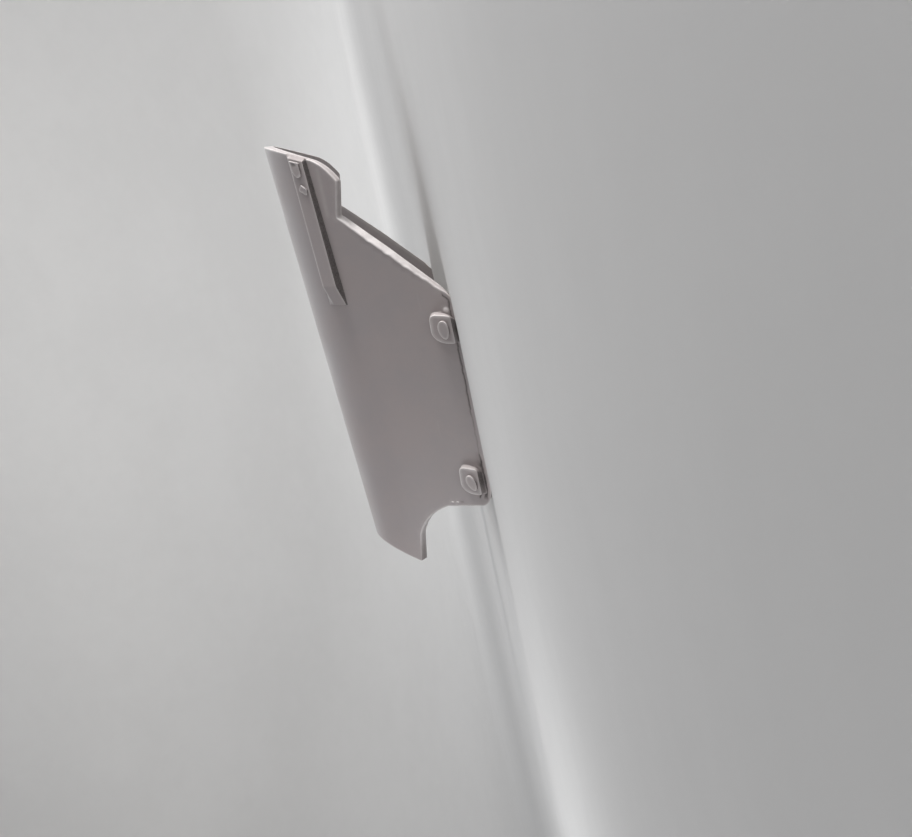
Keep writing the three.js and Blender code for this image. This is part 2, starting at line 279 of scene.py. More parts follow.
# The camera's place, line of sight and upward direction for the photograph's angle to the plate, in metres.
EYE = Vector((0.17013, -0.99412, 0.05528))
SIGHT = Vector((-0.23746, 0.97040, -0.04386))
IMAGE_UP = Vector((0.94955, 0.22242, -0.22070))
LENS = 50.0
SENSOR_WIDTH = 36.0
NEAREST_SEEN = 0.05
FURTHEST_SEEN = 50.0


# The wall's shape

def section_corners(s):
    """The four control points of half the section at each s, as depth and half width."""
    def corners(shape):
        lean = math.radians(shape["lean"])
        edge = np.array([shape["depth"], shape["half_width"]])
        rear = shape["rear"] * np.array([math.cos(lean), math.sin(lean)])
        return np.array([[0.0, 0.0], [0.0, shape["front"]], edge - rear, edge])

    share = np.asarray(s, float)[..., None, None] / SECTION_SPAN
    return corners(HIP_SECTION) * (1 - share) + corners(KNEE_SECTION) * share


def curve_point(corners, u):
    """The place at u on the curve of four control points."""
    u = np.asarray(u, float)[..., None]
    v = 1 - u
    return (v**3 * corners[..., 0, :] + 3 * v**2 * u * corners[..., 1, :]
            + 3 * v * u**2 * corners[..., 2, :] + u**3 * corners[..., 3, :])


def curve_slope(corners, u):
    """The curve's direction at u, as long as its change with u."""
    u = np.asarray(u, float)[..., None]
    v = 1 - u
    step = np.diff(corners, axis=-2)
    return 3 * (v**2 * step[..., 0, :] + 2 * v * u * step[..., 1, :] + u**2 * step[..., 2, :])


def wall(s, u, height=0.0):
    """Points at a height above the outer skin, in the plate's own frame. A negative u is the inner side."""
    s, u, height = np.broadcast_arrays(*[np.asarray(v, float) for v in (s, u, height)])
    reach = np.abs(u)
    corners = section_corners(s)
    place = curve_point(corners, reach)
    across = curve_slope(corners, reach)
    along = curve_point(section_corners(s + 1) - corners, reach)
    zero = np.zeros_like(s)
    normal = np.cross(np.stack([zero - 1, -along[..., 1], -along[..., 0]], -1),
                      np.stack([zero, -across[..., 1], -across[..., 0]], -1))
    normal /= np.linalg.norm(normal, axis=-1, keepdims=True)
    normal = np.where(normal[..., 2:3] < 0, -normal, normal)
    point = np.stack([-s, -place[..., 1], -place[..., 0]], -1) + normal * height[..., None]
    point[..., 1] *= np.where(u < 0, -1.0, 1.0)
    return point


HALVINGS = 40


def depth_to_u(s, b):
    """The u at which the section at s is b deep."""
    low = np.zeros(np.shape(s))
    high = np.ones(np.shape(s))
    corners = section_corners(s)
    for _ in range(HALVINGS):
        middle = (low + high) / 2
        deeper = curve_point(corners, middle)[..., 0] > b
        high = np.where(deeper, middle, high)
        low = np.where(deeper, low, middle)
    return high


# The plate laid flat: s along it, and the running length round the middle section across it, from the
# ridge to a little past the rear edge.
FLAT_PAST_EDGE = 1.05
FLAT_STEPS = 210
FLAT_U = np.linspace(0, FLAT_PAST_EDGE, FLAT_STEPS + 1)
FLAT_CURVE = curve_point(section_corners(np.full(FLAT_U.shape, FLAT_SECTION)), FLAT_U)
FLAT_Y = np.concatenate([[0], np.cumsum(np.linalg.norm(np.diff(FLAT_CURVE, axis=0), axis=1))])


def flat_y(u):
    """The running length round the middle section at u."""
    return np.sign(u) * np.interp(np.abs(u), FLAT_U, FLAT_Y)


def flat_u(y):
    """The u at a running length round the middle section."""
    return np.sign(y) * np.interp(np.abs(y), FLAT_Y, FLAT_U)


def on_wall(flat, height=0.0):
    """Points at a height above the outer skin, from places laid flat."""
    return wall(flat[:, 0], flat_u(flat[:, 1]), height)


# Meshes

def rest_place():
    """The turn, move and scale that lay the plate's own frame down on its two rear edges, in metres."""
    hip, knee = wall(np.array([REST_HIP, REST_KNEE]), 1.0, -WALL)
    tilt = math.atan2(hip[2] - knee[2], hip[0] - knee[0])
    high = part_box("thigh_plate")[1]
    # The inner skin of the ridge's hip end reaches furthest along +X, its outer skin furthest up.
    shift = Vector((high[0] + WALL * MM * math.sin(tilt), 0, high[2]))
    return Matrix.Translation(shift) @ Matrix.Rotation(tilt, 4, "Y") @ Matrix.Scale(MM, 4)


PLACE = rest_place()
# Edges that bend more than this aren't smoothed.
SHARP_ANGLE = math.radians(38)


def add_piece(name, points, faces, materials, nodes, marks, looks=None):
    """One mesh from points in the plate's own frame, which takes the place of the named CAD nodes."""
    mesh = bpy.data.meshes.new(name)
    turn = np.array(PLACE.to_3x3())
    placed = np.asarray(points) @ turn.T + np.array(PLACE.translation)
    # Nothing reaches past the solids' box, so the rear edges end flat on the floor.
    placed = np.clip(placed, CAD_BOX[0], CAD_BOX[1])
    mesh.from_pydata(placed.tolist(), [], faces)
    for material in materials:
        mesh.materials.append(material)
    for polygon in mesh.polygons:
        polygon.use_smooth = True
    if looks is not None:
        mesh.polygons.foreach_set("material_index", np.asarray(looks, np.int32))
    for label, values in marks.items():
        attribute = mesh.attributes.new(label, "FLOAT", "POINT")
        attribute.data.foreach_set("value", np.asarray(values, np.float32))
    mesh.set_sharp_from_angle(angle=SHARP_ANGLE)
    piece = bpy.data.objects.new(name, mesh)
    bpy.context.scene.collection.objects.link(piece)
    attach(piece, "root")
    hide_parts(*nodes)


def ring_faces(first, second, count):
    """Quads between two closed rings of vertices."""
    faces = []
    for i in range(count):
        j = (i + 1) % count
        faces.append((first + i, first + j, second + j, second + i))
    return faces


# A rounded corner has this many points, and takes up this share of a side at most.
SOFTEN_STEPS = 6
SOFTEN_SHARE = 0.5


def soften(path, reaches):
    """A path with each inner corner rounded off, starting at its reach from the corner."""
    path = [np.asarray(point, float) for point in path]
    eased = [path[0]]
    for before, here, after, reach in zip(path, path[1:], path[2:], reaches):
        if reach == 0:
            eased.append(here)
            continue
        start = here + (before - here) * min(reach / np.linalg.norm(before - here), SOFTEN_SHARE)
        end = here + (after - here) * min(reach / np.linalg.norm(after - here), SOFTEN_SHARE)
        for t in np.linspace(0, 1, SOFTEN_STEPS):
            eased.append((1 - t)**2 * start + 2 * (1 - t) * t * here + t**2 * end)
    eased.append(path[-1])
    return eased


# The plate

def wander(length, start):
    """A smooth uneven value between -1 and 1 along a length in millimetres."""
    value = 0
    for i, (wave, share) in enumerate(WANDER_WAVES):
        value = value + share * np.sin(2 * math.pi * length / wave + start * (i + 1))
    return value


def outline_of_side():
    """The outer side's edge laid flat, from the ridge's hip end to its knee end, and how it is moulded."""
    path = []
    edges = []
    start = np.zeros(2)
    values = np.array([OUTLINE[0][label] for label in MOULDED])
    for i, part in enumerate(OUTLINE):
        end = np.array(part["end"])
        bend = np.array(part.get("bend", (start + end) / 2))
        t = np.linspace(0, 1, PART_STEPS + 1)[:-1]
        # The edge meets the ridge square, so the steps close up there.
        if i == 0:
            t = t**2
        if i == len(OUTLINE) - 1:
            t = 1 - (1 - t)**2
        t = t[:, None]
        path.append((1 - t)**2 * start + 2 * (1 - t) * t * bend + t**2 * end)
        ahead = np.array([part[label] for label in MOULDED])
        edges.append(values * (1 - t) + ahead * t)
        start = end
        values = ahead
    path = np.concatenate(path)
    edges = np.concatenate(edges)
    flat = np.column_stack([path[:, 0], flat_y(depth_to_u(path[:, 0], path[:, 1]))])
    flat[0, 1] = 0
    return flat, edges


def ease_loop(values, sigma):
    """Smooths a closed run of evenly spaced values; sigma is in steps."""
    reach = int(4 * sigma) + 1
    weights = np.exp(-0.5 * (np.arange(-reach, reach + 1) / sigma)**2)
    weights /= weights.sum()
    wrapped = np.concatenate([values[-reach:], values, values[:reach]])
    return np.column_stack([np.convolve(column, weights, "valid") for column in wrapped.T])


def even_loop(points, values, spacing):
    """A closed loop of points and what goes with them, at even spacing."""
    closed = np.vstack([points, points[:1]])
    carried = np.vstack([values, values[:1]])
    length = np.concatenate([[0], np.cumsum(np.linalg.norm(np.diff(closed, axis=0), axis=1))])
    count = int(round(length[-1] / spacing))
    at = np.arange(count) * length[-1] / count
    even_points = np.column_stack([np.interp(at, length, column) for column in closed.T])
    even_values = np.column_stack([np.interp(at, length, column) for column in carried.T])
    return even_points, even_values


def plate_outline():
    """The end of the outer skin laid flat as a closed loop: places, the way inwards and the moulding there.

    The moulding is the rounding, how far the inner skin reaches beyond the outer, and how much wear and
    painted light the rim has.
    """
    flat, edges = outline_of_side()
    mirrored = (flat * [1, -1])[::-1]
    knee_end = [[OUTLINE[-1]["end"][0], 0]]
    flat, edges = even_loop(np.vstack([flat, knee_end, mirrored[:-1]]),
                            np.vstack([edges, edges[-1:], edges[::-1][:-1]]), FINE_SPACING)
    flat = ease_loop(flat, CORNER_EASE / FINE_SPACING)
    edges = ease_loop(edges, MOULDING_EASE / FINE_SPACING)
    flat, edges = even_loop(flat, edges, EDGE_SPACING)
    along = np.roll(flat, -1, axis=0) - np.roll(flat, 1, axis=0)
    inward = np.column_stack([-along[:, 1], along[:, 0]])
    inward /= np.linalg.norm(inward, axis=1, keepdims=True)
    if np.sum((np.array(SKIN_MIDDLE) - flat) * inward) < 0:
        inward = -inward
    edge, back, lean, uneven, wear_and_painted_light = edges.T
    back = back + uneven * wander(np.arange(len(flat)) * EDGE_SPACING, EDGE_WANDER_START)
    return flat + inward * back[:, None], inward, edge, back + lean, wear_and_painted_light


def inside(points, loop):
    """Which points lie inside a closed loop."""
    count = np.zeros(len(points), int)
    ahead = np.roll(loop, -1, axis=0)
    for (x0, y0), (x1, y1) in zip(loop, ahead):
        if y0 == y1:
            continue
        crosses = (points[:, 1] >= min(y0, y1)) & (points[:, 1] < max(y0, y1))
        at = x0 + (points[:, 1] - y0) * (x1 - x0) / (y1 - y0)
        count += crosses & (at > points[:, 0])
    return count % 2 == 1


def nearest(points, targets, with_place=False):
    """The distance of each point to the nearest target, and where asked for, which target that is."""
    tree = KDTree(len(targets))
    for i, target in enumerate(targets):
        tree.insert((target[0], target[1], 0), i)
    tree.balance()
    found = [tree.find((x, y, 0)) for x, y in points]
    away = np.array([hit[2] for hit in found])
    return (away, np.array([hit[1] for hit in found])) if with_place else away


def thin_out(points, spacing):
    """Drops points that lie closer than spacing to one kept before them."""
    kept = []
    cells = {}
    for x, y in points:
        cell = (int(x // spacing), int(y // spacing))
        near = []
        for i in (-1, 0, 1):
            for j in (-1, 0, 1):
                near += cells.get((cell[0] + i, cell[1] + j), [])
        if all((x - ox)**2 + (y - oy)**2 >= spacing**2 for ox, oy in near):
            cells.setdefault(cell, []).append((x, y))
            kept.append((x, y))
    return np.array(kept)


def crease_line(loop, inward):
    """The crease inside each rear edge laid flat.

    It gives the crease's places with their depth and width, the edge beside them, and the way inwards.
    """
    rows = np.array(CREASE_ROWS)
    along = (loop[:, 0] > rows[0, 0]) & (loop[:, 0] < rows[-1, 0])
    along &= np.abs(loop[:, 1]) > CREASE_FROM_RIDGE
    inset, depth, width = (np.interp(loop[:, 0], rows[:, 0], column) for column in rows[:, 1:].T)
    unevenness = wander(np.arange(len(loop)) * EDGE_SPACING, CREASE_WANDER_START)
    inset = inset + CREASE_WANDER * unevenness + CREASE_SHIFT
    depth = depth * (1 + CREASE_UNEVEN * np.roll(unevenness, CREASE_LAG))
    line = np.column_stack([loop + inward * inset[:, None], depth, width])
    return line[along], loop[along], inward[along]


def flaw_ends(flaw):
    """A flaw's two ends laid flat."""
    return [np.array([s, float(flat_y(u))]) for s, u in flaw["ends"]]


def away_from_run(points, start, end):
    """The distance of each point from a straight run."""
    run = end - start
    share = np.clip((points - start) @ run / (run @ run), 0, 1)
    return np.linalg.norm(points - start - share[:, None] * run, axis=1)


def skin_relief(flat, crease):
    """How far the outer skin stands proud of the plain wall at each flat place."""
    away, place = nearest(flat, crease, True)
    relief = -crease[place, 2] * np.exp(-0.5 * (away / crease[place, 3])**2)
    for flaw in FLAWS:
        away = away_from_run(flat, *flaw_ends(flaw))
        relief += flaw["height"] * np.exp(-0.5 * (away / flaw["width"])**2)
    return relief


def lattice(low, high, spacing):
    """A lattice of even triangles over a rectangle laid flat."""
    places = []
    for i, y in enumerate(np.arange(low[1], high[1], spacing * math.sqrt(0.75))):
        row = np.arange(low[0] + (i % 2) * spacing / 2, high[0], spacing)
        places.append(np.column_stack([row, np.full(len(row), y)]))
    return np.vstack(places)


def raised_feet():
    """Places laid flat round the feet of everything that stands on the outer skin."""
    feet = []
    rail = np.arange(RAIL_RIM, RAIL_ROWS[-1][0], FOOT_SPACING)
    for u in (RAIL["foot_front"], RAIL["foot_rear"]):
        feet.append(np.column_stack([rail, np.full(len(rail), float(flat_y(u)))]))
    for name, strap in STRAPS.items():
        seat = wall_seat(strap)
        s, u, _ = wall_under(seat, rounded_outline(PAD_CORNERS[name]["foot"], 0))
        feet.append(np.column_stack([s, flat_y(u)]))
    return np.vstack(feet)


def flaw_places():
    """Places laid flat on and round the flaws."""
    patches = []
    for flaw in FLAWS:
        start, end = flaw_ends(flaw)
        reach = FLAW_REACH * flaw["width"]
        spacing = flaw["width"] * FLAW_SPACING
        patch = lattice(np.minimum(start, end) - reach, np.maximum(start, end) + reach, spacing)
        patches.append(patch[away_from_run(patch, start, end) < reach])
    return thin_out(np.vstack(patches), FLAW_GAP)


def skin_places(loop, inward, rounding, crease, feet):
    """Places laid flat that fill the inside of the edge, closer together where there is detail."""
    line, edge, way = crease
    fine = [line[:, :2]]
    for inset in CREASE_FILL:
        fine.append(edge + way * inset)
    for offset in FOOT_FILL:
        for side in (-1, 1):
            fine.append(feet + [0, side * offset])
            fine.append(feet + [side * offset, 0])
    fine.append(loop + inward * (rounding + EDGE_FILL)[:, None])
    flaws = flaw_places()
    fine = np.vstack(fine)
    fine = np.vstack([flaws, thin_out(fine[nearest(fine, flaws) > FLAW_CLEAR], DETAIL_GAP)])
    spread = lattice(SKIN_LOW, SKIN_HIGH, SKIN_SPACING)
    spread = spread[nearest(spread, fine) > SKIN_SPACING * SPREAD_CLEAR]
    places = np.vstack([fine, spread])
    inner_loop = loop + inward * rounding[:, None]
    places = places[inside(places, inner_loop)]
    return places[nearest(places, inner_loop) > EDGE_CLEAR]


def laid_skin(loop, inward, rounding, feet):
    """The skin inside the edge laid flat.

    It gives the skin's places and triangles, the numbers of the places along the edge, and the crease.
    """
    crease = crease_line(loop, inward)
    ring = loop + inward * rounding[:, None]
    count = len(ring)
    bounds = [(i, (i + 1) % count) for i in range(count)]
    flat = np.vstack([ring, skin_places(loop, inward, rounding, crease, feet)])
    vectors = [Vector(point) for point in flat]
    laid, _, triangles, sources, _, _ = delaunay_2d_cdt(vectors, bounds, [], 0, SAME_PLACE, True)
    flat = np.array([tuple(point) for point in laid])
    where = {source: i for i, group in enumerate(sources) for source in group}
    order = [where[i] for i in range(count)]
    triangles = np.array(triangles)
    triangles = triangles[inside(flat[triangles].mean(axis=1), ring)].tolist()
    return flat, triangles, order, crease[0]


def edge_rings():
    """The rings of the moulded edge: over the outer corner, down the rim and over the inner corner.

    Each has its inset and drop as shares of the rounding, its level, and whether it is on the rim's face.
    """
    rings = []
    for turn in np.linspace(0, math.pi / 2, EDGE_STEPS)[1:]:
        rings.append((1 - math.sin(turn), 1 - math.cos(turn), 0.0, False))
    rings.append((0.0, 0.0, WALL / 2, True))
    for turn in np.linspace(math.pi / 2, 0, EDGE_STEPS)[:-1]:
        rings.append((1 - math.sin(turn), math.cos(turn) - 1, WALL, False))
    return rings


def skin_marks(flat, loop, rubbed_and_highlit, slant, relief, feet):
    """Wear with painted highlight and painted shade of the outer skin at each flat place, and wear with
    painted highlight of the inner.
    """
    away, at = nearest(flat, loop, True)
    # The edge is lightened with wear and painted highlight, and so are proud flaws; painted shade lies
    # below the slopes' rims, in sunk creases and round the feet.
    near_edge = np.exp(-np.maximum(away - EDGE_WEAR_AND_HIGHLIGHT["start"], 0) / EDGE_WEAR_AND_HIGHLIGHT["fade"]) * rubbed_and_highlit[at]
    slanted = np.clip((slant[at] - SLOPE_PAINTED_SHADE["least_slant"]) / SLOPE_PAINTED_SHADE["slant_span"], 0, 1)
    band = np.exp(-((away - SLOPE_PAINTED_SHADE["middle"]) / SLOPE_PAINTED_SHADE["fade"])**2)
    below_slope = SLOPE_PAINTED_SHADE["share"] * band * slanted
    proud = np.clip(relief / PROUD_WEAR_AND_HIGHLIGHT, 0, 1)
    sunk = np.clip(-relief / SUNK_PAINTED_SHADE, 0, 1)
    near_foot = FOOT_PAINTED_SHADE["share"] * np.exp(-nearest(flat, feet) / FOOT_PAINTED_SHADE["fade"])
    return np.maximum(near_edge, proud), np.maximum.reduce([near_foot, sunk, below_slope]), near_edge


def plate_faces(flat, triangles, order, starts):
    """The faces of both skins and of the moulded edge between them, and which look each has."""
    total = len(flat)
    count = len(order)
    faces = []
    looks = []
    facing = flat_facing(flat, triangles[0])
    for triangle in triangles:
        a, b, c = triangle if facing > 0 else triangle[::-1]
        faces.append((a, b, c))
        looks.append(OUTER_LOOK)
        faces.append((total + c, total + b, total + a))
        looks.append(INNER_LOOK)
    rings = [order] + [list(range(start, start + count)) for start in starts] + [[total + i for i in order]]
    for upper, lower in zip(rings, rings[1:]):
        for i in range(count):
            j = (i + 1) % count
            faces.append((upper[j], upper[i], lower[i], lower[j]))
            looks.append(OUTER_LOOK)
    return faces, looks


def thigh_plate(materials):
    """The plate's closed moulding: an outer and an inner skin, joined by the moulded edge."""
    loop, inward, rounding, slant, wear_and_painted_light = plate_outline()
    feet = raised_feet()
    flat, triangles, order, crease = laid_skin(loop, inward, rounding, feet)
    relief = skin_relief(flat, crease)
    inner_flat = flat.copy()
    inner_flat[order] = loop + inward * (rounding - slant)[:, None]
    points = [on_wall(flat, relief), on_wall(inner_flat, -WALL)]
    # The rounded edge is lightened with wear and painted highlight, more where the outline's table says so.
    rubbed_and_highlit = np.clip(EDGE_WEAR_AND_HIGHLIGHT["share"] + wear_and_painted_light, 0, 1)
    outer_edge, outer_painted_shade, inner_edge = skin_marks(flat, loop, rubbed_and_highlit, slant, relief, feet)
    edge_mark = [outer_edge, inner_edge]
    painted_shade_mark = [outer_painted_shade, np.zeros(len(flat))]
    starts = []
    for inset, drop, level, on_rim in edge_rings():
        depth = drop * rounding + level
        starts.append(sum(len(block) for block in points))
        points.append(on_wall(loop + inward * (inset * rounding - slant * depth / WALL)[:, None], -depth))
        # The rim's face gets wear and painted highlight from the outline's table, and painted shade where
        # its value is below 0.
        edge_mark.append(np.clip(wear_and_painted_light, 0, 1) if on_rim else rubbed_and_highlit)
        painted_shade_mark.append(np.clip(-wear_and_painted_light, 0, 1))
    points = np.vstack(points)
    faces, looks = plate_faces(flat, triangles, order, starts)
    faces = face_outwards(points, faces)
    marks = {"edge": np.concatenate(edge_mark), "painted_shade": np.concatenate(painted_shade_mark)}
    add_piece("thigh_plate_moulding", points, faces, materials, ["thigh_plate"], marks, looks)


def flat_facing(flat, triangle):
    """Above 0 where a triangle laid flat runs anticlockwise."""
    a, b, c = (flat[i] for i in triangle)
    return (b[0] - a[0]) * (c[1] - a[1]) - (b[1] - a[1]) * (c[0] - a[0])


def face_outwards(points, faces):
    """Turns every face over where a closed set of faces points inwards as a whole."""
    volume = 0.0
    for face in faces:
        corners = points[list(face)]
        for i in range(1, len(face) - 1):
            volume += float(np.dot(corners[0], np.cross(corners[i], corners[i + 1])))
    return faces if volume > 0 else [tuple(reversed(face)) for face in faces]


# Seats for what stands on the plate

def make_seat(origin, along, outward, s=0.0, u=0.0):
    """A place to stand on, with axes along it, across it and out of it. On the wall it has s and u."""
    outward = outward / np.linalg.norm(outward)
    along = along - outward * np.dot(along, outward)
    along = along / np.linalg.norm(along)
    return {"origin": origin, "axes": np.array([along, np.cross(outward, along), outward]), "s": s, "u": u}


def wall_seat(strap):
    """The wall's outer skin at a strap's pad."""
    s, u = strap["s"], strap["u"]
    origin = wall(s, u)
    return make_seat(origin, wall(s + 1, u) - origin, wall(s, u, 1) - origin, s, u)


def rail_seat(fitting):
    """The rail's flat face at a fitting."""
    s = fitting["s"]
    (s0, h0), (s1, h1) = next(pair for pair in zip(RAIL_ROWS, RAIL_ROWS[1:]) if pair[1][0] > s)
    share = (s - s0) / (s1 - s0)
    edges = {}
    for name in ("face_front", "face_rear"):
        edges[name] = wall(s0, RAIL[name], h0) * (1 - share) + wall(s1, RAIL[name], h1) * share
    along = wall(s1, RAIL["face_front"], h1) - wall(s0, RAIL["face_front"], h0)
    outward = np.cross(edges["face_rear"] - edges["face_front"], along)
    if outward[2] < 0:
        outward = -outward
    place = (fitting["u"] - RAIL["face_front"]) / (RAIL["face_rear"] - RAIL["face_front"])
    origin = edges["face_front"] * (1 - place) + edges["face_rear"] * place
    return make_seat(origin, along, outward)


# How often the place on the wall below a seat is corrected, and the small steps that it is found with.
SEAT_TRIES = 6
STEP_S = 0.5
STEP_U = 0.004


def wall_under(seat, flat):
    """The wall's s and u straight below places on a seat, and how far above the seat it is there."""
    s = seat["s"] + flat[:, 0]
    u = seat["u"] + flat[:, 1] / FLAT_SECTION
    for _ in range(SEAT_TRIES):
        here = wall(s, u)
        by_s = (wall(s + STEP_S, u) - here) @ seat["axes"].T / STEP_S
        by_u = (wall(s, u + STEP_U) - here) @ seat["axes"].T / STEP_U
        miss = flat - ((here - seat["origin"]) @ seat["axes"].T)[:, :2]
        area = by_s[:, 0] * by_u[:, 1] - by_s[:, 1] * by_u[:, 0]
        s = s + (miss[:, 0] * by_u[:, 1] - miss[:, 1] * by_u[:, 0]) / area
        u = u + (by_s[:, 0] * miss[:, 1] - by_s[:, 1] * miss[:, 0]) / area
    return s, u, ((wall(s, u) - seat["origin"]) @ seat["axes"].T)[:, 2]


# All outlines of raised pieces have as many points, and start at the corner towards the hip and the ridge.
CORNER_POINTS = 13
SIDE_POINTS = 11
OUTLINE_POINTS = 4 * (CORNER_POINTS + SIDE_POINTS)
OVAL_START = 1.25 * math.pi
# A corner's rounding reaches this far at least, and takes up this share of a side at most.
LEAST_REACH = 0.6
SIDE_SHARE = 0.6
# An outline that is drawn in keeps this share of its size at least.
LEAST_SIZE = 0.1


def rounded_outline(corners, inset):
    """A four-cornered outline with rounded or cut corners, its sides moved in by inset."""
    places = [np.array([x - math.copysign(inset, x), y - math.copysign(inset, y)]) for x, y, *_ in corners]
    curves = []
    for i, (_, _, *reaches, cut) in enumerate(corners):
        here = places[i]
        ends = []
        for neighbour, reach in zip((places[i - 1], places[(i + 1) % 4]), reaches):
            side = np.linalg.norm(neighbour - here)
            share = min(max(reach - inset, LEAST_REACH) / side, SIDE_SHARE)
            ends.append(here + (neighbour - here) * share)
        bend = here + ((ends[0] + ends[1]) / 2 - here) * cut
        t = np.linspace(0, 1, CORNER_POINTS)[:, None]
        curves.append((1 - t)**2 * ends[0] + 2 * (1 - t) * t * bend + t**2 * ends[1])
    outline = []
    for i, curve in enumerate(curves):
        ahead = curves[(i + 1) % 4][0]
        t = np.linspace(0, 1, SIDE_POINTS + 2)[1:-1, None]
        outline += [curve, curve[-1] * (1 - t) + ahead * t]
    return np.vstack(outline)


def drawn_in(outline, inset):
    """An outline drawn in towards its middle by inset."""
    middle = outline.mean(0)
    away = outline - middle
    return middle + away * np.maximum(1 - inset / np.linalg.norm(away, axis=1, keepdims=True), LEAST_SIZE)


def pad_outline(name, inset):
    """A pad's outline from its foot, at no inset, to its flat face and on across the face."""
    share = min(inset / PAD["slope"], 1.0)
    foot, face = (np.array(PAD_CORNERS[name][level]) for level in ("foot", "face"))
    return rounded_outline(foot * (1 - share) + face * share, max(inset - PAD["slope"], 0.0))


def oval_outline(size, inset):
    """An oval, a little narrower at its knee end, that starts where a four-cornered outline does."""
    angle = OVAL_START - np.arange(OUTLINE_POINTS) * 2 * math.pi / OUTLINE_POINTS
    x = np.cos(angle) * (size["length"] / 2 - inset)
    y = np.sin(angle) * (size["width"] / 2 - inset) * (1 - OVAL_NARROWING * np.cos(angle))
    turn = math.radians(size["turn"])
    turned = [x * math.cos(turn) - y * math.sin(turn), x * math.sin(turn) + y * math.cos(turn)]
    return np.column_stack(turned) + np.array(size["centre"])


def raised_rings(seat, outline, profile, rests_on_wall, height, hollow=None):
    """Rings that climb a profile of insets and heights. A foot on the wall follows its curve."""
    rings = []
    for inset, rise in profile:
        flat = outline(inset)
        lift = np.full(len(flat), float(rise))
        if hollow is not None:
            away = (flat - hollow["at"]) / hollow["reach"]
            sunk = hollow["depth"] * np.exp(-np.sum(away**2, axis=1))
            lift -= sunk * (rise > 0) * min(inset / HOLLOW_EASE, 1.0)
        if rests_on_wall:
            share = np.clip(1 - rise / height, 0, 1)
            lift += wall_under(seat, flat)[2] * share
        rings.append(seat["origin"] + np.column_stack([flat, lift]) @ seat["axes"])
    return rings


def point_marks(edge, painted_shade, hidden):
    """The marks of a piece's points, of which the last ones are hidden and have none."""
    none = np.zeros(hidden)
    return {"edge": np.concatenate([edge.ravel(), none]), "painted_shade": np.concatenate([painted_shade.ravel(), none])}


def raised_piece(name, rings, edge, painted_shade, material, nodes, mirrored=False):
    """A closed piece from rings, the first closed underneath and the last closed on top."""
    count = len(rings[0])
    middles = [rings[0].mean(0)[None], rings[-1].mean(0)[None]]
    points = np.vstack(rings + middles)
    if mirrored:
        points = points * [1, -1, 1]
    faces = []
    for k in range(len(rings) - 1):
        faces += ring_faces(k * count, (k + 1) * count, count)
    bottom = len(rings) * count
    last = (len(rings) - 1) * count
    faces += [(bottom, (i + 1) % count, i) for i in range(count)]
    faces += [(bottom + 1, last + i, last + (i + 1) % count) for i in range(count)]
    faces = face_outwards(points, faces)
    add_piece(name, points, faces, [material], nodes, point_marks(edge, painted_shade, len(middles)))


def ring_marks(profile, outline, hollow=None):
    """How much wear and painted highlight, and how much painted shade, each point of a raised piece's rings
    has.

    Rounded edges get wear and painted highlight, and sides that face the hip, towards the light, a little
    painted highlight. Painted shade is on the foot, on sides that face the rear, away from the light, and
    in the hollow.
    """
    path = np.array(profile, float)
    step = np.diff(path, axis=0)
    heading = np.unwrap(np.arctan2(step[:, 1], step[:, 0]))
    turns = np.zeros(len(path))
    turns[1:-1] = heading[:-1] - heading[1:]
    base = outline(0)
    way = base - base.mean(0)
    way_length = np.linalg.norm(way, axis=1)
    rearward = np.clip(REARWARD["gain"] * way[:, 1] / way_length - REARWARD["start"], 0, 1)
    hipward = np.clip(-HIPWARD["gain"] * way[:, 0] / way_length - HIPWARD["start"], 0, 1)
    height = path[:, 1].max()
    steep = np.zeros(len(path))
    steep[1:] = np.abs(step[:, 1]) / np.linalg.norm(step, axis=1)
    unshaded_top = min(UNSHADED_TOP["most"], UNSHADED_TOP["share"] * height)
    on_side = steep * np.clip((height - path[:, 1]) / unshaded_top, 0, 1)
    foot = RING_FOOT_PAINTED_SHADE["share"] * np.exp(-np.maximum(path[:, 1], 0) / RING_FOOT_PAINTED_SHADE["fade"])
    edge = np.clip(turns / RING_BEND, 0, 1)[:, None] * (1 - REAR_FADE * rearward)
    edge = np.maximum(edge, HIP_PAINTED_HIGHLIGHT * steep[:, None] * hipward * (path[:, 1] < height)[:, None])
    painted_shade = np.maximum(on_side[:, None] * rearward, foot[:, None])
    if hollow is not None:
        sunk = []
        for inset in path[:, 0]:
            away = (outline(inset) - hollow["at"]) / hollow["reach"]
            sunk.append(np.exp(-np.sum(away**2, axis=1)))
        painted_shade = np.maximum(painted_shade, HOLLOW_PAINTED_SHADE * np.array(sunk) * (turns < FLAT_BEND)[:, None])
    return edge, painted_shade


# Rail, boss, pads and studs

def rail_rows():
    """The s and height of each row along the rail, eased at the bends and close enough together."""
    rim = (RAIL_RIM, RAIL_END_HEIGHT)
    top = (RAIL_RIM + RAIL_END_SLOPE, RAIL_ROWS[0][1])
    foot = (RAIL_ROWS[-1][0] + RAIL_END_STEP, RAIL_END_HEIGHT)
    run = soften([rim, top, *RAIL_ROWS[1:], foot], RAIL_EASES)
    rows = [run[0]]
    for point in run[1:]:
        before = rows[-1]
        steps = max(1, int(np.ceil((point[0] - before[0]) / RAIL_SPACING)))
        for k in range(1, steps + 1):
            rows.append(before + (point - before) * k / steps)
    return rows


